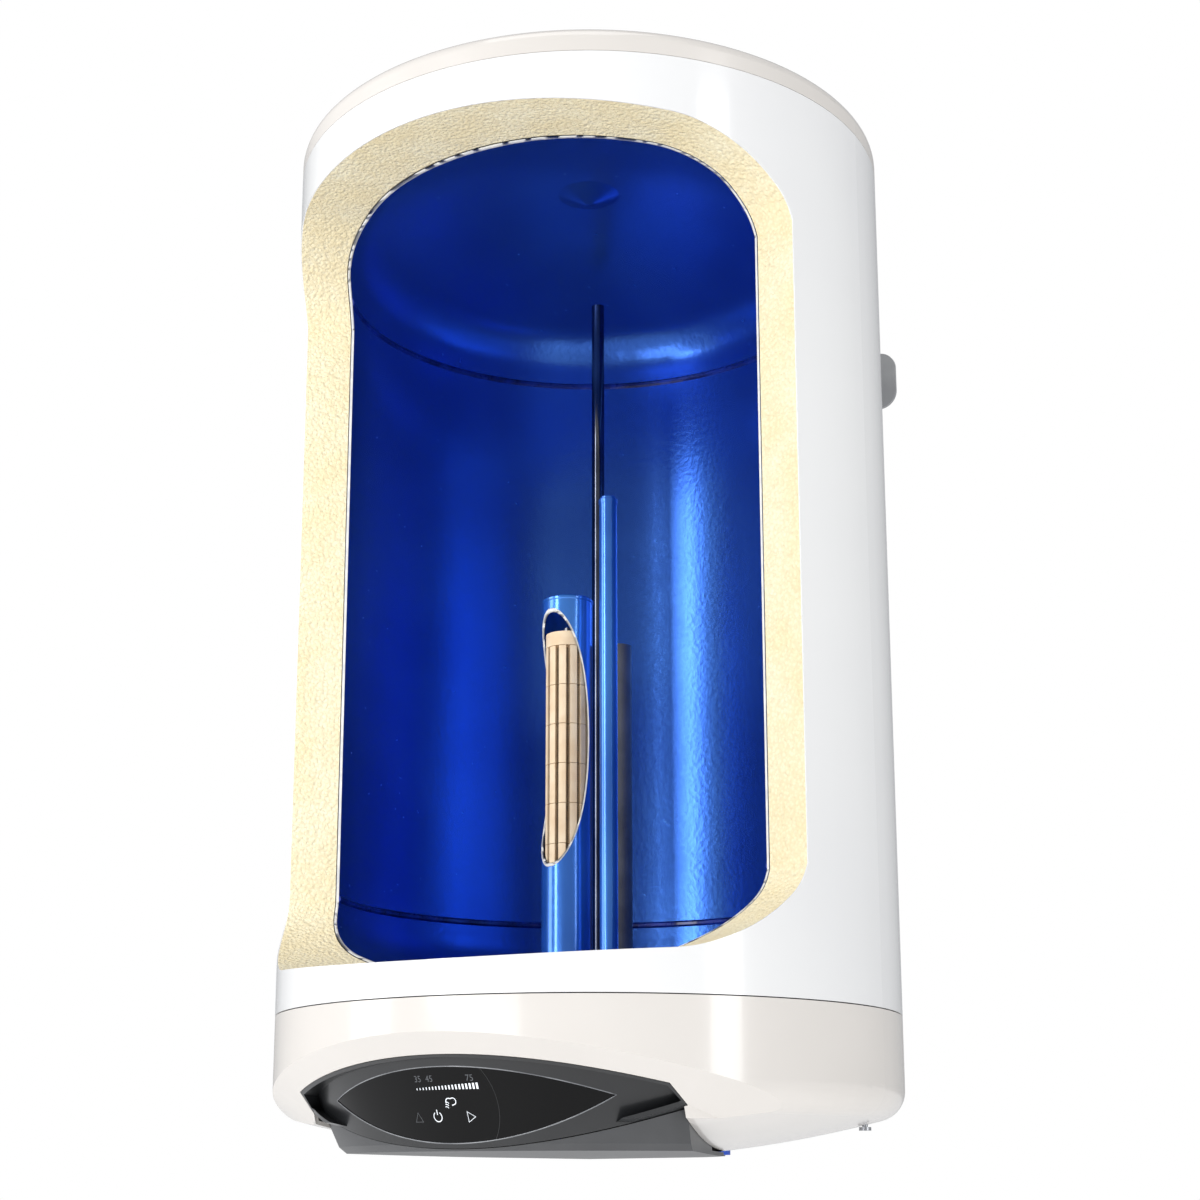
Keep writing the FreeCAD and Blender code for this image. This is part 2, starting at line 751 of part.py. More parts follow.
def make_control_panel():
    wall = panel_cone("bezel_wall", size(0), D["panel_thick"])
    plate = common("bezel_plate", wall, bezel_prism("bezel_outline"))
    seat = lens_prism("glass_seat", D["glass_half"], D["glass_top"], D["glass_foot"], D["glass_tip"], 0.2)
    rim_room = bezel_prism("bezel_rim_room", -D["rim_thick"])
    frame = cut("bezel_frame", bezel_prism("bezel_rim_outline"), rim_room)
    top, foot = D["panel_top"], D["panel_foot"]
    high, low = D["panel_top_radius"] - D["panel_thick"], D["panel_foot_radius"] - D["panel_thick"]
    before_panel = turned("before_panel", [(low, foot), (D["casing_radius"], foot), (D["casing_radius"], top),
                                           (high, top)])
    rim_blank = common("bezel_rim_part", frame, before_panel)
    rim = common("bezel_rim", rim_blank, cover_form("rim_limit", size(0), 0.0))
    finish("control_bezel", cut("bezel", fused("bezel_and_rim", [plate, rim]), seat))
    pane = panel_cone("glass_wall", size(0.4), D["glass_thick"])
    outline = lens_prism("glass_outline", D["glass_half"], D["glass_top"], D["glass_foot"], D["glass_tip"])
    finish("display_glass", common("glass", pane, outline))
    board = block("board", -45, 0, -22, 90, 1.6, 44)
    finish("display_board", board, -45, -165, -90, 25, (1, 0, 0))


def service_outline(name, growth=0):
    """Plan of the service cover: wide at the front, narrow and round behind the middle."""
    growth = size(growth)
    front, back = D["service_front"] + growth, D["service_back"] + growth
    nose, bend, heel = D["service_nose"], D["service_bend"], D["service_heel"]
    corners = [(-front, nose), (front, nose), (front, bend), (back, heel, back * 1.15, 1),
               (-back, heel), (-front, bend)]
    return at(padded(name, "XY_Plane", corners, D["flank_top"] + growth + 120), 0, 0, -120)


def make_service_cover():
    """Tray from the foot of the panel to behind the middle; its flanks rise beside the bezel."""
    foot, rim = D["panel_foot"], D["panel_foot_radius"]
    low = D["cover_shoulder"] - 48.9
    wall, flank = D["service_wall"], D["flank_top"]
    lean = (D["panel_top_radius"] - rim) / (D["panel_top"] - foot)
    flank_radius = rim + (flank - foot) * lean
    corners = [(size(0), low), (rim - 6, foot - 1.6), (rim, foot + 3), (flank_radius, flank),
               (flank_radius - wall, flank), (rim - wall, foot + 5), (rim - 9, foot + 1.4),
               (size(0), low + wall)]
    tray = common("service_part", turned("service_dish", corners), service_outline("service_plan"))
    filled = turned("service_filled", corners[:4] + [(size(0), flank)])
    inner_plan = service_outline("service_inner_plan", -wall)
    front_part = block("service_front_part", -160, -240, -125, 320, D["side_wall_long"], 65)
    side_blank = common("service_block", filled, service_outline("service_side_plan"))
    side_walls = cut("service_sides", common("service_side_part", side_blank, front_part), inner_plan)
    bezel_room = bezel_prism("service_bezel_room", D["service_gap"])
    finish("service_cover", cut("service", fused("service_tray", [tray, side_walls]), bezel_room))


def facet_section(distance, raised):
    """The facet on a flat plane in front of the axis, closed far below. Every line from the axis
    keeps the facet's slope, so two such sections give the whole arched facet."""
    radius, slope = D["casing_radius"].number, D["facet_slope"].number
    top, arch = D["facet_top"].number + raised, D["facet_arch"].number
    points = []
    for step in range(-39, 40):
        turn = math.radians(2.0 * step)
        across = radius * math.sin(turn)
        edge = top - arch + math.sqrt(arch ** 2 - across ** 2)
        reach = distance / math.cos(turn)
        points.append(FreeCAD.Vector(distance * math.tan(turn), -distance, edge + (reach - radius) * slope))
    spline = Part.BSplineCurve()
    spline.interpolate(points)
    floor = -400.0
    left = FreeCAD.Vector(points[0].x, -distance, floor)
    right = FreeCAD.Vector(points[-1].x, -distance, floor)
    return Part.Wire([spline.toShape(), Part.makeLine(points[-1], right), Part.makeLine(right, left),
                      Part.makeLine(left, points[0])])


def facet_groove(name, raised, inset):
    """What the facet takes away: all below it that lies outside the belly's cone."""
    below = doc.addObject("Part::Feature", name + "_below")
    below.Shape = Part.makeLoft([facet_section(30.0, raised), facet_section(300.0, raised)], True, True)
    high, low = D["belly_top_radius"] - inset, D["belly_foot_radius"] - inset
    cone = turned(name + "_cone", [(size(0), size(-130)), (low, size(-130)), (low, size(-98)),
                                   (high, size(-36)),
                                   (high, size(20)), (size(0), size(20))])
    return cut(name, below, cone)


def cover_form(name, inset, raised):
    """Outer or inner form of the bottom cover: a dished end with the facet cut into its front."""
    outline = dish(D["casing_radius"], D["cover_knuckle"], D["cover_crown"], D["cover_shoulder"], -1, inset)
    rim = D["casing_radius"] - inset
    form = turned(name + "_dish", [(rim, size(-0.8))] + outline + [(size(0), size(-0.8))])
    return cut(name, form, facet_groove(name + "_groove", raised, inset))


def make_bottom_cover():
    shell = cut("cover_shell", cover_form("cover_outer", size(0), 0.0),
                cover_form("cover_inner", D["cover_wall"], D["facet_wall"].number))
    panel_room = bezel_prism("cover_panel_room", D["service_gap"])
    plan_room = service_outline("cover_plan_room", D["service_gap"])
    pipes = pipe_passages("cover_pipe", D["stub_radius"] + 4.2, -120, -50)
    gland = rod("cover_gland_hole", 8.0, -120, -60, -130, 110)
    screws = [rod("cover_screw_hole%d" % n, 2.2, -120, -40, *spot) for n, spot in enumerate(screw_spots())]
    finish("bottom_cover", cut("cover", shell, panel_room, plan_room, *pipes, gland, *screws))


def screw_spots():
    return [around(205, angle) for angle in (20, 90, 160)]


def make_cover_fixings():
    """Screws of the bottom cover with the posts that they go into."""
    dome_face = -79.4
    screws = []
    posts = []
    for number, spot in enumerate(screw_spots()):
        head = rod("screw_head%d" % number, 4.5, dome_face - 3.5, dome_face - 1.0, *spot)
        shank = rod("screw_shank%d" % number, 2.0, dome_face - 1.5, dome_face + 14, *spot)
        screws.append(fused("screw%d" % number, [head, shank]))
        post = rod("post%d" % number, 5.0, dome_face + 6, 0, *spot)
        posts.append(cut("hollow_post%d" % number, post, rod("post_bore%d" % number, 2.0, -90, -60, *spot)))
    finish("cover_screws", group("screws", screws))
    finish("cover_posts", group("posts", posts))


def make_cable_gland():
    gland = turned("gland_body", [(size(4.5), size(-96)), (size(12), size(-96)), (size(12), size(-89)),
                                  (size(8), size(-89)), (size(8), size(-74)), (size(4.5), size(-74))])
    finish("cable_gland", gland, -130, 110)


# ---------------------------------------------------------------- electrics

def make_cutout(foot):
    x, y = D["cutout_x"], D["cutout_y"]
    gap = D["button_gap"]
    low = foot - 20
    bore = D["button_radius"] + gap
    radius = D["cutout_radius"]
    case = turned("cutout_case", [(size(0), foot), (size(0), foot - 8), (bore, foot - 8), (bore, low),
                                  (radius, low),
                                  (radius, foot)])
    finish("thermal_cutout", case, x, y)
    button = turned("button", [(size(0), low - 3), (D["button_radius"], low - 3),
                               (D["button_radius"], foot - 11),
                               (size(0), foot - 11)])
    finish("reset_button", button, x, y)


def make_electrics():
    board_x, board_y, board_z = -60, -130, -62
    board = block("supply_board", board_x, board_y, board_z, 120, 70, 1.6)
    finish("power_board", board, board_x, board_y, board_z)
    chips = [block("relay", -50, -120, -60.4, 28, 22, 16), block("transformer", -8, -122, -60.4, 34, 28, 20),
             block("capacitor", 36, -110, -60.4, 14, 14, 18)]
    finish("board_parts", group("parts_on_board", chips))
    terminals = block("terminal_case", 90, -20, -72, 26, 44, 20)
    wells = [rod("terminal_well%d" % n, 3.0, -80, -60, 103, -10 + 12 * n) for n in range(3)]
    finish("terminal_block", cut("terminals", terminals, *wells))
    finish("earth_screw", nut("earth", -29.5, 0, 0, 10.0), 38, -38)


def wire_path(points, bend):
    """Straight runs joined by tangent arcs."""
    spots = [FreeCAD.Vector(*point) for point in points]
    edges = []
    start = spots[0]
    for before, here, after in zip(spots, spots[1:], spots[2:]):
        inward = (before - here).normalize()
        onward = (after - here).normalize()
        turn = math.pi - inward.getAngle(onward)
        back = bend * math.tan(turn / 2)
        first, last = here + inward * back, here + onward * back
        middle_way = (inward + onward).normalize()
        middle = here + middle_way * (bend / math.cos(turn / 2) - bend)
        edges.append(Part.makeLine(start, first))
        edges.append(Part.Arc(first, middle, last).toShape())
        start = last
    edges.append(Part.makeLine(start, spots[-1]))
    return Part.Wire(edges)


def make_wiring():
    """Two insulated leads from the terminal block to the heater's pins."""
    radius = 1.6
    leads = []
    for side, shelf in ((-1, -58.0), (1, -64.0)):
        x = D["sleeve_x"].number + 9.0 * side
        y = D["sleeve_y"].number
        path = wire_path([(x, y, -48.2), (x, y, shelf), (60, y, shelf), (89, 2 + 8 * side, shelf)], 6.0)
        first = path.Edges[0]
        section = Part.Wire(Part.makeCircle(radius, first.Vertexes[0].Point, FreeCAD.Vector(0, 0, 1)))
        leads.append(path.makePipeShell([section], True, True))
    piece = doc.addObject("Part::Feature", "leads")
    piece.Shape = Part.makeCompound(leads)
    finish("internal_wiring", piece)


# ---------------------------------------------------------------- wall side

def make_wall_bracket():
    """Plate against the wall with two ribs that stand on the casing."""
    wide, tall, sheet_thick = D["bracket_width"], D["bracket_tall"], D["bracket_sheet"]
    half, high = wide / 2, tall / 2
    radius = size(15)
    corners = [(-half + radius, -high), (half - radius, -high, radius, 1), (half, -high + radius),
               (half, high - radius, radius, 1), (half - radius, high), (-half + radius, high, radius, 1),
               (-half, high - radius), (-half, -high + radius, radius, 1)]
    plate = padded("bracket_plate", "XZ_Plane", corners, sheet_thick)
    at(plate, 0, D["axis_to_wall"], D["bolt_height"])
    rib_long = D["axis_to_wall"] - 200.5
    ribs = [block("bracket_rib%d" % n, side * 70 - 2, 200, D["bolt_height"] - 20, 4, rib_long, 40)
            for n, side in enumerate((-1, 1))]
    slots = []
    for n, side in enumerate((-1, 1)):
        hole = doc.addObject("Part::Cylinder", "bolt_slot%d" % n)
        bind(hole, Radius=D["bolt_hole"], Height=20)
        at(hole, D["bolt_spacing"] / 2 * side, D["axis_to_wall"] + 5, D["bolt_height"], 90, (1, 0, 0))
        slots.append(hole)
    room = rod("bracket_casing_room", D["casing_radius"], 400, 700)
    blank = fused("bracket_blank", [plate] + ribs)
    finish("wall_bracket", cut("bracket", blank, fused("bolt_slots", slots), room))


def make_lower_spacer():
    spacer = doc.addObject("Part::Cylinder", "spacer_blank")
    bind(spacer, Radius=14, Height=40)
    at(spacer, 0, D["axis_to_wall"], 70, 90, (1, 0, 0))
    finish("lower_spacer", cut("spacer", spacer, rod("spacer_casing_room", D["casing_radius"], 20, 120)))


# ---------------------------------------------------------------- build, check and write

def build():
    make_outer_casing()
    make_top_cap()
    make_base_plate()
    make_insulation_foam()
    make_tank()
    make_weld_beads()
    plate_low = make_flange()
    make_sleeve(plate_low)
    make_heater(plate_low)
    make_pocket(plate_low)
    make_anode(plate_low)
    make_pipes()
    make_control_panel()
    make_service_cover()
    make_bottom_cover()
    make_cover_fixings()
    make_cable_gland()
    make_cutout(plate_low)
    make_electrics()
    make_wiring()
    make_wall_bracket()
    make_lower_spacer()


def write_parts():
    doc.recompute()
    failed = [piece.Label for piece in doc.Objects if {"Invalid", "Error"} & set(piece.State)]
    if failed:
        raise SystemExit("failed: " + ", ".join(failed))
    os.makedirs("parts", exist_ok=True)
    for piece in FINISHED:
        shape = piece.Shape
        if shape.isNull() or not shape.isValid() or not shape.Solids:
            raise SystemExit("bad shape: " + piece.Label)
        shape.exportStep("parts/%s.step" % piece.Label)
        print("%-24s %2d solids %12.1f mm3" % (piece.Label, len(shape.Solids), shape.Volume))


build()
write_parts()
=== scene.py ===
import math

import bpy
from mathutils import Matrix, Vector


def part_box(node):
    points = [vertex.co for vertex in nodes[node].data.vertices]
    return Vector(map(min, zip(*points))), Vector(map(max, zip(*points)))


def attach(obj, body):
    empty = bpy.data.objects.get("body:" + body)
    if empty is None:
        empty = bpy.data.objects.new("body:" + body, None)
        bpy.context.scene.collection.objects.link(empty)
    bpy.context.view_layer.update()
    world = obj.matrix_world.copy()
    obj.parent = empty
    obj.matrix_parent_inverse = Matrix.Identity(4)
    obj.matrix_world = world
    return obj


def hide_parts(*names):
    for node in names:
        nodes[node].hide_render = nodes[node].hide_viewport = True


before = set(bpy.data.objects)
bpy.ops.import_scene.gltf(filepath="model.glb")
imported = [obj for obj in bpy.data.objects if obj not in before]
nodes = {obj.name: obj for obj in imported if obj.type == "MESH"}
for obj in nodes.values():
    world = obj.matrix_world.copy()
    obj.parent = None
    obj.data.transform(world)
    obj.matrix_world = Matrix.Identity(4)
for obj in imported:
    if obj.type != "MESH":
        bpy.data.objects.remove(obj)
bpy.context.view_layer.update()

# ---------------------------------------------------------------- tank
# The tank is 2 mm sheet steel, rolled and closed by two dished ends, with a weld bead at each joint.
# Inside it has fired blue enamel, which keeps a slight orange peel and shines in long soft streaks.


def linear(red, green, blue):
    """Colour of an 8-bit sample, in the linear values that the shader takes."""
    def one(level):
        level = level / 255.0
        return level / 12.92 if level <= 0.04045 else ((level + 0.055) / 1.055) ** 2.4
    return (one(red), one(green), one(blue), 1.0)


def link(tree, source, target):
    tree.links.new(source, target)


def make_surface_group():
    """Broad change of tone, fine grain and uneven gloss, which nearly every finish here has."""
    group = bpy.data.node_groups.new("surface_variation", "ShaderNodeTree")
    for name, kind in (("Tone", "NodeSocketColor"), ("Second Tone", "NodeSocketColor"),
                       ("Patch Scale", "NodeSocketFloat"), ("Grain Scale", "NodeSocketFloat"),
                       ("Gloss Low", "NodeSocketFloat"), ("Gloss High", "NodeSocketFloat")):
        group.interface.new_socket(name, in_out="INPUT", socket_type=kind)
    for name, kind in (("Colour", "NodeSocketColor"), ("Roughness", "NodeSocketFloat"),
                       ("Height", "NodeSocketFloat")):
        group.interface.new_socket(name, in_out="OUTPUT", socket_type=kind)
    inside = group.nodes.new("NodeGroupInput")
    outside = group.nodes.new("NodeGroupOutput")
    place = group.nodes.new("ShaderNodeTexCoord")
    patches = group.nodes.new("ShaderNodeTexNoise")
    patches.inputs["Detail"].default_value = 3.0
    grain = group.nodes.new("ShaderNodeTexNoise")
    grain.inputs["Detail"].default_value = 4.0
    tones = group.nodes.new("ShaderNodeMix")
    tones.data_type = "RGBA"
    gloss = group.nodes.new("ShaderNodeMapRange")
    spread = group.nodes.new("ShaderNodeMapRange")
    spread.inputs["From Min"].default_value = 0.35
    spread.inputs["From Max"].default_value = 0.65
    for noise, scale in ((patches, "Patch Scale"), (grain, "Grain Scale")):
        link(group, place.outputs["Object"], noise.inputs["Vector"])
        link(group, inside.outputs[scale], noise.inputs["Scale"])
    link(group, patches.outputs["Fac"], spread.inputs["Value"])
    link(group, spread.outputs["Result"], tones.inputs["Factor"])
    link(group, inside.outputs["Tone"], tones.inputs["A"])
    link(group, inside.outputs["Second Tone"], tones.inputs["B"])
    link(group, grain.outputs["Fac"], gloss.inputs["Value"])
    link(group, inside.outputs["Gloss Low"], gloss.inputs["To Min"])
    link(group, inside.outputs["Gloss High"], gloss.inputs["To Max"])
    link(group, tones.outputs["Result"], outside.inputs["Colour"])
    link(group, gloss.outputs["Result"], outside.inputs["Roughness"])
    link(group, grain.outputs["Fac"], outside.inputs["Height"])
    return group


surface_group = make_surface_group()


def finish_of(name, tone, second_tone, gloss, patch_scale=14.0, grain_scale=900.0, relief=0.05,
              relief_depth=0.0002, metallic=0.0, coat=0.0, coat_roughness=0.05):
    """Material whose colour, gloss and relief all vary over the surface."""
    material = bpy.data.materials.new(name)
    material.use_nodes = True
    tree = material.node_tree
    shader = tree.nodes["Principled BSDF"]
    shader.inputs["Metallic"].default_value = metallic
    shader.inputs["Coat Weight"].default_value = coat
    shader.inputs["Coat Roughness"].default_value = coat_roughness
    surface = tree.nodes.new("ShaderNodeGroup")
    surface.node_tree = surface_group
    surface.inputs["Tone"].default_value = tone
    surface.inputs["Second Tone"].default_value = second_tone
    surface.inputs["Patch Scale"].default_value = patch_scale
    surface.inputs["Grain Scale"].default_value = grain_scale
    surface.inputs["Gloss Low"].default_value = gloss[0]
    surface.inputs["Gloss High"].default_value = gloss[1]
    bump = tree.nodes.new("ShaderNodeBump")
    bump.inputs["Strength"].default_value = relief
    bump.inputs["Distance"].default_value = relief_depth
    link(tree, surface.outputs["Colour"], shader.inputs["Base Color"])
    link(tree, surface.outputs["Roughness"], shader.inputs["Roughness"])
    link(tree, surface.outputs["Height"], bump.inputs["Height"])
    link(tree, bump.outputs["Normal"], shader.inputs["Normal"])
    return material


def dress(material, *names):
    """Give CAD nodes their finish."""
    for name in names:
        for place in nodes[name].material_slots:
            place.material = material


tank_enamel = finish_of("cobalt_tank_enamel", linear(64, 116, 208), linear(48, 94, 188), (0.20, 0.30),
                        patch_scale=5.0, grain_scale=230.0, relief=0.22, relief_depth=0.0008,
                        metallic=0.8)
dress(tank_enamel, "tank_cylinder", "tank_top_dome", "tank_bottom_dome", "flange_neck")
weld_enamel = finish_of("enamel_over_weld", linear(24, 52, 150), linear(12, 24, 84), (0.2, 0.4),
                        patch_scale=60.0, grain_scale=500.0, relief=0.6, relief_depth=0.0008,
                        metallic=0.4, coat=0.5)
dress(weld_enamel, "lower_weld_bead", "upper_weld_bead")


# ---------------------------------------------------------------- tank's cut edge
# Where the window is sawn through the tank, the edge of the sheet shows the white ground coat.
# Each edge is a thin skin on the sawn faces of the tank, its two ends and the heater's sleeve.
heater_axis_y = -0.247
joint_line_z = -0.571
tank_radius, tank_knuckle, tank_crown = 0.1973, 0.044, 0.382
top_shoulder, foot_shoulder = joint_line_z + 0.601, joint_line_z + 0.083
skin_thick = 0.00015
crown_reach = math.sqrt((tank_crown - tank_knuckle) ** 2 - (tank_radius - tank_knuckle) ** 2)


def select_only(piece):
    bpy.ops.object.select_all(action="DESELECT")
    piece.select_set(True)
    bpy.context.view_layer.objects.active = piece


def depth_in_tank(spot):
    """How deep a point lies under the tank's outer surface."""
    radius = math.hypot(spot.x, spot.y - heater_axis_y)
    if foot_shoulder < spot.z < top_shoulder:
        return tank_radius - radius
    height = spot.z - top_shoulder if spot.z > top_shoulder else foot_shoulder - spot.z
    knuckle_middle = tank_radius - tank_knuckle
    on_crown = radius * crown_reach < knuckle_middle * (height + crown_reach)
    if on_crown:
        return tank_crown - math.hypot(radius, height + crown_reach)
    return tank_knuckle - math.hypot(radius - knuckle_middle, height)


sleeve_radius = 0.0198
sleeve_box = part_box("heater_sleeve")
sleeve_middle = ((sleeve_box[0][0] + sleeve_box[1][0]) / 2, (sleeve_box[0][1] + sleeve_box[1][1]) / 2)


def depth_in_sleeve(spot):
    return sleeve_radius - math.hypot(spot.x - sleeve_middle[0], spot.y - sleeve_middle[1])


def sawn_edge(node, name, depth_of, sheet_thick, white):
    """Skin on a node's sawn faces: those that run from the outer surface to the inner one."""
    source = nodes[node]
    piece = bpy.data.objects.new(name, source.data.copy())
    bpy.context.scene.collection.objects.link(piece)
    select_only(piece)
    bpy.ops.object.mode_set(mode="EDIT")
    bpy.ops.mesh.select_all(action="SELECT")
    bpy.ops.mesh.remove_doubles(threshold=0.000002)
    bpy.ops.mesh.select_mode(type="FACE")
    bpy.ops.mesh.select_all(action="DESELECT")
    bpy.ops.object.mode_set(mode="OBJECT")
    low_end, high_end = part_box(node)[0][2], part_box(node)[1][2]
    for face in piece.data.polygons:
        share = depth_of(face.center) / sheet_thick
        at_joint = min(face.center.z - low_end, high_end - face.center.z) < 0.0002
        face.select = at_joint or not 0.15 < share < 0.85
    bpy.ops.object.mode_set(mode="EDIT")
    bpy.ops.mesh.delete(type="FACE")
    bpy.ops.mesh.select_all(action="SELECT")
    bpy.ops.mesh.delete_loose()
    bpy.ops.object.mode_set(mode="OBJECT")
    skin = piece.modifiers.new("skin", "SOLIDIFY")
    skin.thickness = skin_thick
    skin.offset = 1.0
    bpy.ops.object.modifier_apply(modifier="skin")
    piece.data.materials.clear()
    piece.data.materials.append(white)
    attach(piece, "heater")
    return piece


white_ground = finish_of("white_ground_enamel", linear(240, 238, 232), linear(216, 216, 216), (0.35, 0.55),
                         patch_scale=120.0, grain_scale=1800.0, relief=0.3)
sawn_edge("tank_cylinder", "tank_side_cut_edge", depth_in_tank, 0.002, white_ground)
sawn_edge("tank_top_dome", "tank_top_cut_edge", depth_in_tank, 0.002, white_ground)
sawn_edge("tank_bottom_dome", "tank_foot_cut_edge", depth_in_tank, 0.002, white_ground)
sawn_edge("heater_sleeve", "sleeve_cut_edge", depth_in_sleeve, 0.0015, white_ground)


# ---------------------------------------------------------------- flange and its fixings
# A round flange closes the tank from below. It holds the heater, the pocket and the anode.
# It is enamelled steel on a black rubber gasket, held by zinc-plated studs and nuts.
rod_enamel = finish_of("bright_blue_rod_enamel", linear(70, 140, 230), linear(48, 112, 210), (0.16, 0.26),
                       patch_scale=9.0, grain_scale=260.0, relief=0.12, relief_depth=0.0006,
                       metallic=0.6, coat=0.6, coat_roughness=0.06)
dress(rod_enamel, "flange_plate", "heater_sleeve", "heater_sleeve_cap", "sensor_pocket", "sensor_pocket_cap")
seal_rubber = finish_of("black_seal_rubber", linear(30, 30, 31), linear(22, 22, 23), (0.6, 0.8),
                        patch_scale=40.0, grain_scale=1400.0, relief=0.4)
dress(seal_rubber, "flange_gasket")
zinc_plate = finish_of("zinc_plated_steel", linear(178, 180, 182), linear(150, 152, 158), (0.28, 0.46),
                       patch_scale=90.0, grain_scale=1600.0, relief=0.2, metallic=1.0)
dress(zinc_plate, "flange_studs", "flange_nuts", "cover_screws", "cover_posts", "heater_terminal_pins",
      "earth_screw", "anode_stud", "anode_nut", "hot_outlet_stub", "cold_inlet_stub", "heater_core_rod",
      "temperature_sensor")


# ---------------------------------------------------------------- heater core
# Eight cream steatite bodies stand on a steel rod, one above another, with a plain ring on top.
# They are pressed and fired, so they are matt, a little uneven in tone and darker near the wire.
steatite = finish_of("cream_steatite", linear(244, 222, 190), linear(232, 204, 168), (0.55, 0.72),
                     patch_scale=70.0, grain_scale=1500.0, relief=0.35, relief_depth=0.0003)
dress(steatite, "heater_segments", "heater_end_ring", "heater_terminal_head")


# ---------------------------------------------------------------- heating coils
# Twelve coils of oxidised resistance wire lie in the grooves round the ceramic bodies.
# Each is wound close on a mandrel, so one coil is wound here and then copied round the axis.
coil_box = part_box("heating_coils")
coil_axis = ((coil_box[0][0] + coil_box[1][0]) / 2, (coil_box[0][1] + coil_box[1][1]) / 2)
coil_count = 12
coil_circle = 0.0150
coil_radius = 0.0009
wire_radius = 0.00026
coil_pitch = 0.00135
coil_low = coil_box[0][2]
coil_turns = int((coil_box[1][2] - coil_low - wire_radius * 2) / coil_pitch)
resistance_wire = finish_of("oxidised_resistance_wire", linear(92, 78, 68), linear(60, 50, 44), (0.4, 0.6),
                            patch_scale=200.0, grain_scale=3000.0, relief=0.2, metallic=0.6)
bpy.ops.object.select_all(action="DESELECT")
bpy.ops.mesh.primitive_circle_add(vertices=4, radius=wire_radius, location=(coil_radius, 0, 0),
                                  rotation=(math.pi / 2, 0, 0))
first_coil = bpy.context.object
bpy.ops.object.transform_apply(location=True, rotation=True, scale=True)
winding = first_coil.modifiers.new("winding", "SCREW")
winding.axis = "Z"
winding.angle = math.tau
winding.screw_offset = coil_pitch
winding.iterations = coil_turns
winding.steps = 7
winding.render_steps = 7
winding.use_merge_vertices = False
bpy.ops.object.modifier_apply(modifier="winding")
bpy.ops.object.mode_set(mode="EDIT")
bpy.ops.mesh.select_all(action="SELECT")
bpy.ops.mesh.normals_make_consistent(inside=False)
bpy.ops.object.mode_set(mode="OBJECT")
first_coil.data.transform(Matrix.Translation((0, 0, coil_low + wire_radius)))
coils = []
for number in range(coil_count):
    turn = math.tau * number / coil_count
    coil = bpy.data.objects.new("coil", first_coil.data.copy())
    bpy.context.scene.collection.objects.link(coil)
    coil.data.transform(Matrix.Translation((coil_axis[0] + coil_circle * math.cos(turn),
                                            coil_axis[1] + coil_circle * math.sin(turn), 0)))
    coils.append(coil)
bpy.data.objects.remove(first_coil)
bpy.ops.object.select_all(action="DESELECT")
for coil in coils:
    coil.select_set(True)
bpy.context.view_layer.objects.active = coils[0]
bpy.ops.object.join()
heater_coils = bpy.context.object
heater_coils.name = "heater_coils"
bpy.ops.object.shade_smooth()
heater_coils.data.materials.clear()
heater_coils.data.materials.append(resistance_wire)
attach(heater_coils, "heater")
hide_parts("heating_coils")


# ---------------------------------------------------------------- anode
# The sacrificial anode is an extruded magnesium rod, matt grey and faintly drawn along its length.
# It stands on the flange beside the heater.
magnesium = finish_of("extruded_magnesium", linear(132, 134, 138), linear(104, 106, 112), (0.42, 0.6),
                      patch_scale=30.0, grain_scale=700.0, relief=0.4, relief_depth=0.0004, metallic=0.7)
dress(magnesium, "anode_rod")


# ---------------------------------------------------------------- pipes
# The hot outlet is a thin polished steel pipe that draws water from under the top dome.
# The short inlet riser carries a black plastic diffuser. Red and blue rings mark the two stubs.
dark_chrome = finish_of("dark_polished_pipe", linear(96, 100, 112), linear(70, 74, 88), (0.08, 0.16),
                        patch_scale=20.0, grain_scale=900.0, relief=0.05, metallic=1.0)
dress(dark_chrome, "hot_outlet_pipe", "inlet_riser")
black_moulding = finish_of("black_moulding", linear(34, 34, 35), linear(24, 24, 25), (0.4, 0.55),
                           patch_scale=40.0, grain_scale=1500.0, relief=0.25)
dress(black_moulding, "inlet_diffuser", "cable_gland", "thermal_cutout", "board_parts", "lower_spacer")
red_moulding = finish_of("red_ring_moulding", linear(206, 34, 30), linear(182, 24, 24), (0.28, 0.4),
                         patch_scale=60.0, grain_scale=1500.0, relief=0.1)
dress(red_moulding, "hot_ring", "reset_button")
blue_moulding = finish_of("blue_ring_moulding", linear(34, 84, 200), linear(26, 66, 172), (0.28, 0.4),
                          patch_scale=60.0, grain_scale=1500.0, relief=0.1)
dress(blue_moulding, "cold_ring")
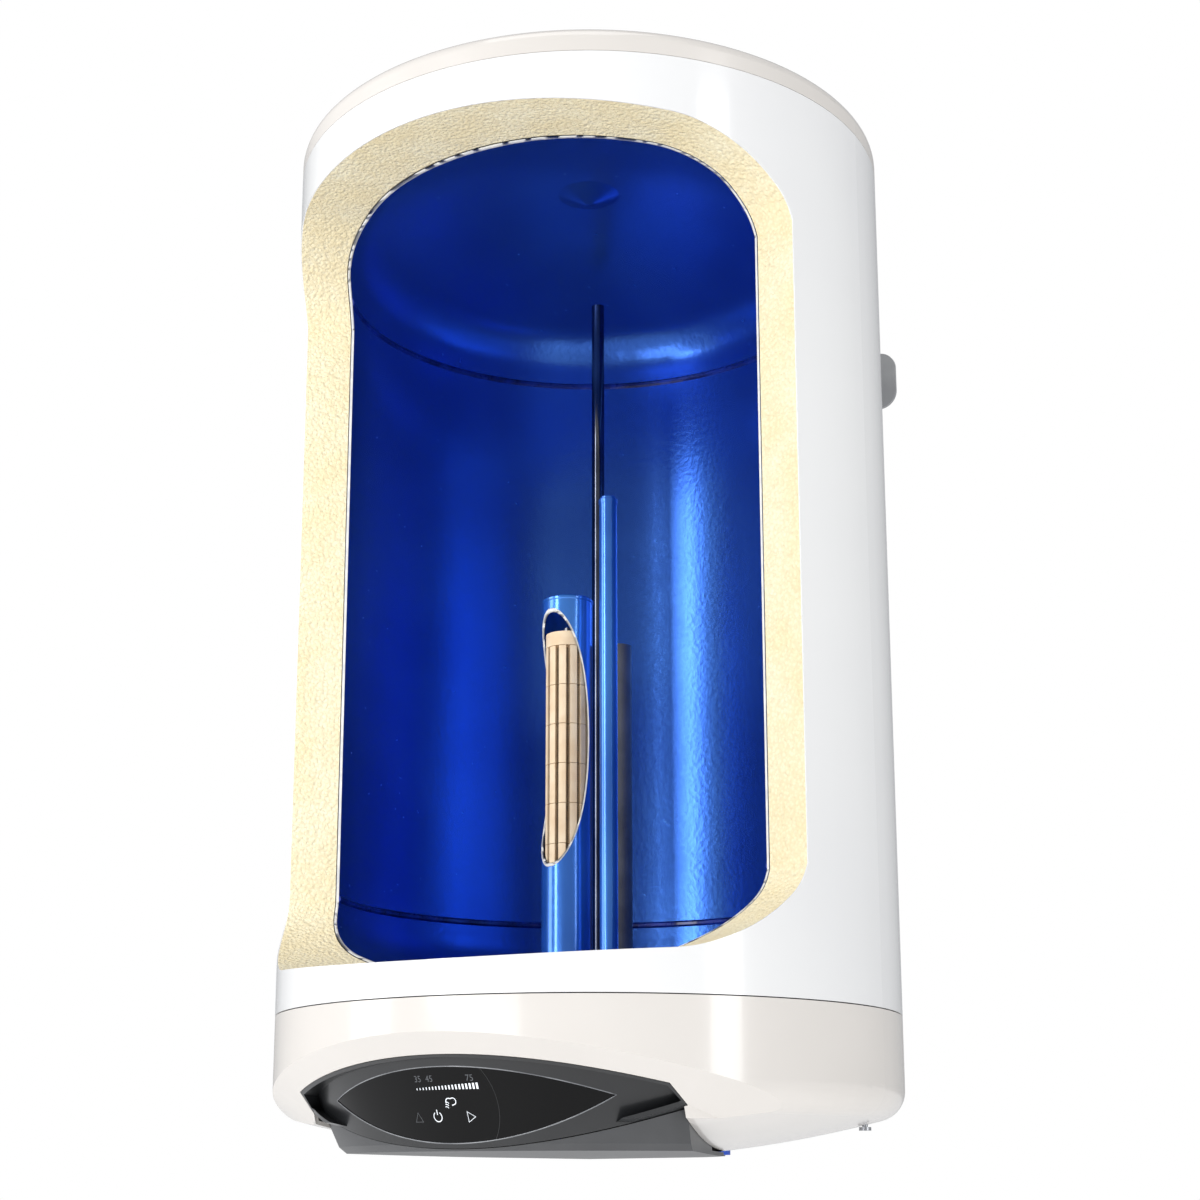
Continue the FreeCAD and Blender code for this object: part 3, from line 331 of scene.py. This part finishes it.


# ---------------------------------------------------------------- insulation foam
# Rigid polyurethane foam fills the room between tank and casing, and the window is cut through it.
# The cut face is cream, granular and finely wrinkled. A darker cream is mixed in by cell distance as painted
# shade in its pores.


def make_foam():
    foam = finish_of("cut_foam", linear(255, 246, 214), linear(252, 238, 198), (0.85, 0.97),
                     patch_scale=26.0, grain_scale=420.0, relief=0.9, relief_depth=0.0022)
    tree = foam.node_tree
    shader = tree.nodes["Principled BSDF"]
    surface = [node for node in tree.nodes if node.type == "GROUP"][0]
    bump = [node for node in tree.nodes if node.type == "BUMP"][0]
    place = tree.nodes.new("ShaderNodeTexCoord")
    cells = tree.nodes.new("ShaderNodeTexVoronoi")
    cells.inputs["Scale"].default_value = 330.0
    cells.inputs["Randomness"].default_value = 1.0
    join = tree.nodes.new("ShaderNodeMath")
    join.operation = "MULTIPLY_ADD"
    join.inputs[1].default_value = 0.6
    # Painted shade in the pores: a darker cream mixed in where the cells' distance is large.
    pore_painted_shade = tree.nodes.new("ShaderNodeMapRange")
    pore_painted_shade.inputs["From Min"].default_value = 0.25
    pore_painted_shade.inputs["From Max"].default_value = 0.6
    pore_painted_shade.inputs["To Min"].default_value = 0.0
    pore_painted_shade.inputs["To Max"].default_value = 0.22
    shade = tree.nodes.new("ShaderNodeMix")
    shade.data_type = "RGBA"
    shade.inputs["B"].default_value = linear(214, 186, 126)
    link(tree, place.outputs["Object"], cells.inputs["Vector"])
    link(tree, cells.outputs["Distance"], join.inputs[0])
    link(tree, surface.outputs["Height"], join.inputs[2])
    link(tree, join.outputs["Value"], bump.inputs["Height"])
    link(tree, cells.outputs["Distance"], pore_painted_shade.inputs["Value"])
    link(tree, pore_painted_shade.outputs["Result"], shade.inputs["Factor"])
    link(tree, surface.outputs["Colour"], shade.inputs["A"])
    link(tree, shade.outputs["Result"], shader.inputs["Base Color"])
    return foam


dress(make_foam(), "insulation_foam")


# ---------------------------------------------------------------- casing, cap and base plate
# The casing is white stoved sheet steel, rolled into a tube, with a flat base plate under the foam.
# The top cap is a warm light-grey moulding of the same width, which snaps into the casing's top.
white_stoved = finish_of("white_stoved_sheet", linear(242, 242, 241), linear(236, 236, 236), (0.10, 0.17),
                         patch_scale=3.0, grain_scale=700.0, relief=0.02, coat=0.5, coat_roughness=0.04)
dress(white_stoved, "outer_casing", "base_plate", "terminal_block")
warm_grey = finish_of("warm_grey_gloss_moulding", linear(226, 221, 215), linear(218, 213, 207), (0.14, 0.22),
                      patch_scale=4.0, grain_scale=900.0, relief=0.03, coat=0.35, coat_roughness=0.05)
dress(warm_grey, "top_cap", "bottom_cover")


# ---------------------------------------------------------------- wall bracket and spacer
# The heater hangs on a pressed steel bracket, grey powder coated, which stands out past its sides.
# A black spacer lower down keeps it upright against the wall.
powder_grey = finish_of("grey_powder_coat", linear(158, 159, 160), linear(146, 147, 149), (0.45, 0.6),
                        patch_scale=30.0, grain_scale=1800.0, relief=0.5)
dress(powder_grey, "wall_bracket")


# ---------------------------------------------------------------- electrics under the tank
# The power board and the display board are green laminate with black parts soldered on.
# Brown insulated leads run from the terminal block to the boards.


def make_laminate():
    board = finish_of("green_circuit_laminate", linear(24, 92, 52), linear(16, 74, 42), (0.3, 0.42),
                      patch_scale=60.0, grain_scale=1200.0, relief=0.2)
    tree = board.node_tree
    shader = tree.nodes["Principled BSDF"]
    surface = [node for node in tree.nodes if node.type == "GROUP"][0]
    place = tree.nodes.new("ShaderNodeTexCoord")
    tracks = tree.nodes.new("ShaderNodeTexBrick")
    tracks.inputs["Scale"].default_value = 130.0
    tracks.inputs["Mortar Size"].default_value = 0.05
    tint = tree.nodes.new("ShaderNodeMix")
    tint.data_type = "RGBA"
    tint.inputs["B"].default_value = linear(70, 140, 86)
    link(tree, place.outputs["Object"], tracks.inputs["Vector"])
    link(tree, tracks.outputs["Fac"], tint.inputs["Factor"])
    link(tree, surface.outputs["Colour"], tint.inputs["A"])
    link(tree, tint.outputs["Result"], shader.inputs["Base Color"])
    return board


dress(make_laminate(), "power_board", "display_board")
brown_lead = finish_of("brown_lead_insulation", linear(110, 62, 34), linear(92, 50, 28), (0.4, 0.55),
                       patch_scale=80.0, grain_scale=1500.0, relief=0.15)
dress(brown_lead, "internal_wiring")


# ---------------------------------------------------------------- control panel
# A dark satin bezel leans in towards its foot and holds a black almond-shaped glass.
# A thin light grey line follows the edge of the glass, a painted highlight where its bevel catches the light.
satin_dark = finish_of("dark_satin_bezel", linear(36, 37, 39), linear(30, 31, 33), (0.26, 0.36),
                       patch_scale=24.0, grain_scale=1600.0, relief=0.08, coat=0.2)
dress(satin_dark, "control_bezel")
black_glass = finish_of("black_display_glass", linear(9, 9, 10), linear(6, 6, 7), (0.03, 0.06),
                        patch_scale=8.0, grain_scale=500.0, relief=0.0)
glass_shine = 0.18
black_glass.node_tree.nodes["Principled BSDF"].inputs["Specular IOR Level"].default_value = glass_shine
dress(black_glass, "display_glass")

panel_high = (0.214, -0.036)
panel_low = (0.186, -0.098)


def on_panel(across, height, proud):
    """Point on the panel's cone: across and height as seen from straight in front."""
    slope = (panel_high[0] - panel_low[0]) / (panel_high[1] - panel_low[1])
    radius = panel_low[0] + (height - panel_low[1]) * slope + proud
    return Vector((across, heater_axis_y - math.sqrt(radius ** 2 - across ** 2), joint_line_z + height))


glass_half, glass_top, glass_tip, glass_foot = 0.1112, -0.0448, -0.064, -0.0947
painted_highlight_radius = 0.00042


def almond_height(across, peak):
    rise = abs(peak - glass_tip)
    arc = (glass_half ** 2 + rise ** 2) / (rise * 2)
    drop = arc - math.sqrt(arc ** 2 - across ** 2)
    return peak - math.copysign(drop, peak - glass_tip)


# Painted highlight: a light grey tube along the glass's outline stands for its bevel catching the light.
bevel_painted_highlight = finish_of("painted_bevel_highlight", linear(150, 152, 156), linear(112, 114, 118), (0.2, 0.3),
                        patch_scale=30.0, grain_scale=1500.0, relief=0.05, coat=0.4)
line_steps = 48
line = bpy.data.curves.new("painted_glass_edge_highlight", "CURVE")
line.dimensions = "3D"
line.bevel_depth = painted_highlight_radius
line.bevel_resolution = 2
spline = line.splines.new("POLY")
points = []
for step in range(line_steps):
    across = -glass_half + glass_half * 2 * step / line_steps
    points.append(on_panel(across, almond_height(across, glass_top), 0.0))
for step in range(line_steps):
    across = glass_half - glass_half * 2 * step / line_steps
    points.append(on_panel(across, almond_height(across, glass_foot), 0.0))
spline.points.add(len(points) - 1)
for corner, spot in zip(spline.points, points):
    corner.co = (*spot, 1.0)
spline.use_cyclic_u = True
edge_curve = bpy.data.objects.new("edge_curve", line)
bpy.context.scene.collection.objects.link(edge_curve)
select_only(edge_curve)
bpy.ops.object.convert(target="MESH")
painted_glass_edge_highlight = bpy.context.object
painted_glass_edge_highlight.name = "painted_glass_edge_highlight"
bpy.ops.object.shade_smooth()
painted_glass_edge_highlight.data.materials.append(bevel_painted_highlight)
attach(painted_glass_edge_highlight, "heater")


# ---------------------------------------------------------------- display marks
# Lit marks show through the glass: a row of nineteen ticks, numbers, a cloud, a power ring and arrows.
# The bright ones glow white, the sleeping ones are dim grey, and a faint round edge bounds the zone.


def glowing(name, level, tone, second_tone):
    material = finish_of(name, tone, second_tone, (0.3, 0.4),
                         patch_scale=300.0, grain_scale=900.0, relief=0.0)
    tree = material.node_tree
    shader = tree.nodes["Principled BSDF"]
    surface = [node for node in tree.nodes if node.type == "GROUP"][0]
    link(tree, surface.outputs["Colour"], shader.inputs["Emission Color"])
    shader.inputs["Emission Strength"].default_value = level
    return material


def lay_on_glass(pieces, name, material):
    """Join flat marks drawn in x and z, and wrap them on the glass."""
    bpy.ops.object.select_all(action="DESELECT")
    for piece in pieces:
        piece.select_set(True)
    bpy.context.view_layer.objects.active = pieces[0]
    if len(pieces) > 1:
        bpy.ops.object.join()
    marks = bpy.context.view_layer.objects.active
    marks.name = name
    for corner in marks.data.vertices:
        corner.co = on_panel(corner.co.x, corner.co.z, -0.0003)
    marks.data.materials.clear()
    marks.data.materials.append(material)
    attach(marks, "heater")
    return marks


def flat_shape(corners):
    """Flat mark from its corners, each an (x, z) pair."""
    mesh = bpy.data.meshes.new("mark")
    mesh.from_pydata([(x, 0.0, z) for x, z in corners], [], [tuple(range(len(corners)))])
    piece = bpy.data.objects.new("mark", mesh)
    bpy.context.scene.collection.objects.link(piece)
    return piece


def stroke(path, width, closed=False):
    """Line of even width along a path of (x, z) pairs."""
    left, right = [], []
    count = len(path)
    for number, (x, z) in enumerate(path):
        before = path[(number - 1) % count] if closed or number else path[number]
        after = path[(number + 1) % count] if closed or number < count - 1 else path[number]
        run = Vector((after[0] - before[0], after[1] - before[1])).normalized()
        left.append((x - run.y * width / 2, 0.0, z + run.x * width / 2))
        right.append((x + run.y * width / 2, 0.0, z - run.x * width / 2))
    faces = []
    for number in range(count if closed else count - 1):
        after = (number + 1) % count
        faces.append((number, after, count + after, count + number))
    mesh = bpy.data.meshes.new("mark")
    mesh.from_pydata(left + right, [], faces)
    piece = bpy.data.objects.new("mark", mesh)
    bpy.context.scene.collection.objects.link(piece)
    return piece


def arc_path(x, z, radius, start, stop, steps=16):
    angles = [math.radians(start + (stop - start) * step / steps) for step in range(steps + 1)]
    return [(x + radius * math.cos(angle), z + radius * math.sin(angle)) for angle in angles]


def number_mark(text, x, z, height):
    """Number set as a flat mark; its text is made a mesh before it gets its place."""
    bpy.ops.object.select_all(action="DESELECT")
    bpy.ops.object.text_add(rotation=(math.pi / 2, 0, 0))
    piece = bpy.context.object
    piece.data.body = text
    piece.data.size = height * 1.4
    piece.data.align_x = "CENTER"
    bpy.ops.object.convert(target="MESH")
    piece = bpy.context.object
    bpy.ops.object.transform_apply(location=True, rotation=True, scale=True)
    piece.data.transform(Matrix.Translation((x, 0, z)))
    return piece


tick_count = 19
tick_first, tick_last = -0.0222, 0.0250
tick_foot = -0.0597
bright_marks = []
for number in range(tick_count):
    share = number / (tick_count - 1)
    x = tick_first + (tick_last - tick_first) * share
    half = 0.00032 + 0.00042 * share
    tall = 0.0012 + 0.0028 * share
    bright_marks.append(flat_shape([(x - half, tick_foot), (x + half, tick_foot),
                                    (x + half, tick_foot + tall), (x - half, tick_foot + tall)]))
line_width = 0.00062
cloud_x, cloud_z = 0.0030, -0.0684
bright_marks.append(stroke(arc_path(cloud_x - 0.0016, cloud_z + 0.0006, 0.0024, 200, 60)
                           + arc_path(cloud_x + 0.0016, cloud_z + 0.0010, 0.0022, 100, -60)
                           + [(cloud_x + 0.0004, cloud_z - 0.0016)], line_width))
for number in range(3):
    bright_marks.append(stroke(arc_path(cloud_x - 0.0034 - number * 0.0004, cloud_z - 0.0010 - number * 0.0015,
                                        0.0016, 20, 120), line_width * 0.8))
power_x, power_z = -0.0098, -0.0772
bright_marks.append(stroke(arc_path(power_x, power_z, 0.0032, 125, 415, 28), line_width))
bright_marks.append(stroke([(power_x, power_z + 0.0012), (power_x, power_z + 0.0046)], line_width))
arrow_x, arrow_z = 0.0158, -0.0776
bright_marks.append(stroke([(arrow_x - 0.0022, arrow_z - 0.0034), (arrow_x - 0.0022, arrow_z + 0.0034),
                            (arrow_x + 0.0034, arrow_z)], line_width, closed=True))
lit = glowing("lit_display_marks", 1.1, linear(200, 204, 208), linear(188, 192, 198))
lay_on_glass(bright_marks, "display_bright_marks", lit)
dim_marks = [number_mark("35", -0.0200, -0.0545, 0.0042), number_mark("45", -0.0105, -0.0545, 0.0042),
             number_mark("75", 0.0206, -0.0545, 0.0042)]
dim_marks.append(stroke([(-0.0290, -0.0804), (-0.0228, -0.0804), (-0.0259, -0.0744)], line_width, closed=True))
sleeping = glowing("sleeping_display_marks", 0.25, linear(84, 86, 90), linear(74, 76, 80))
lay_on_glass(dim_marks, "display_dim_marks", sleeping)
zone_edge = stroke(arc_path(-0.0030, -0.0700, 0.0400, 42, -42, 40), 0.0003)
faint = glowing("faint_zone_edge", 0.03, linear(42, 43, 45), linear(36, 37, 39))
lay_on_glass([zone_edge], "display_zone_edge", faint)


# ---------------------------------------------------------------- service cover
# A dark grey moulding closes the underside behind the panel and lifts off for the flange.
# It is satin with a fine spark-eroded grain.
satin_grey = finish_of("dark_satin_service_moulding", linear(74, 75, 77), linear(66, 67, 69), (0.34, 0.46),
                       patch_scale=20.0, grain_scale=2200.0, relief=0.12)
dress(satin_grey, "service_cover")


# ---------------------------------------------------------------- floor, light and camera
# The heater hangs high on a wall, so the floor lies well below it and the camera looks up.
# Large soft boxes stand at both sides and in front, and their edges draw the bands on the casing.
bpy.ops.object.select_all(action="DESELECT")
floor_size, floor_height = 60.0, -1.75
bpy.ops.mesh.primitive_plane_add(size=floor_size, location=(0, 0, floor_height))
floor = bpy.context.object
floor.name = "studio_floor"
floor.data.materials.append(finish_of("pale_floor", linear(236, 236, 236), linear(232, 232, 232), (0.7, 0.8),
                                      patch_scale=0.4, grain_scale=30.0, relief=0.0))
floor_shader = floor.data.materials[0].node_tree.nodes["Principled BSDF"]
floor_shader.inputs["Emission Color"].default_value = (1.0, 1.0, 1.0, 1.0)
floor_shader.inputs["Emission Strength"].default_value = 0.38

world = bpy.data.worlds.new("studio")
bpy.context.scene.world = world
world.use_nodes = True
sky = world.node_tree
white_sky = sky.nodes["Background"]
white_sky.inputs["Color"].default_value = (1.0, 1.0, 1.0, 1.0)
grey_sky = sky.nodes.new("ShaderNodeBackground")
grey_sky.inputs["Color"].default_value = (0.94, 0.96, 1.0, 1.0)
grey_sky.inputs["Strength"].default_value = 0.42
seen_sky = sky.nodes.new("ShaderNodeLightPath")
either_sky = sky.nodes.new("ShaderNodeMixShader")
link(sky, seen_sky.outputs["Is Camera Ray"], either_sky.inputs["Fac"])
link(sky, grey_sky.outputs["Background"], either_sky.inputs[1])
link(sky, white_sky.outputs["Background"], either_sky.inputs[2])
link(sky, either_sky.outputs["Shader"], sky.nodes["World Output"].inputs["Surface"])
bpy.context.scene.view_settings.view_transform = "Standard"


def soft_box(name, place, target, wide, tall, power):
    light = bpy.data.lights.new(name, "AREA")
    light.shape = "RECTANGLE"
    light.size = wide
    light.size_y = tall
    light.energy = power
    lamp = bpy.data.objects.new(name, light)
    bpy.context.scene.collection.objects.link(lamp)
    lamp.location = place
    lamp.rotation_euler = (Vector(target) - Vector(place)).to_track_quat("-Z", "Y").to_euler()
    return lamp


tank_middle = (0.0, -0.25, -0.25)
soft_box("left_soft_box", (-2.2, -2.0, 0.2), tank_middle, 0.9, 2.4, 22)
soft_box("right_soft_box", (2.4, -0.9, 0.0), tank_middle, 0.5, 2.6, 22)
soft_box("tank_soft_box", (-0.85, -2.4, 0.35), tank_middle, 0.45, 1.5, 17)
soft_box("front_soft_box", (-0.3, -3.0, -0.9), tank_middle, 1.2, 1.2, 16)
soft_box("top_soft_box", (0.2, -1.2, 2.2), tank_middle, 1.6, 1.6, 14)

camera = bpy.data.cameras.new("studio_camera")
camera.sensor_width = 36.0
camera.lens = 61.9
camera.shift_x = 0.0093
camera.shift_y = 0.0946
viewer = bpy.data.objects.new("studio_camera", camera)
bpy.context.scene.collection.objects.link(viewer)
viewer.location = (0.7464, -1.6332, -0.6917)
viewer.rotation_euler = (math.radians(90 + 12.83), 0.0, math.radians(28.3))
bpy.context.scene.camera = viewer
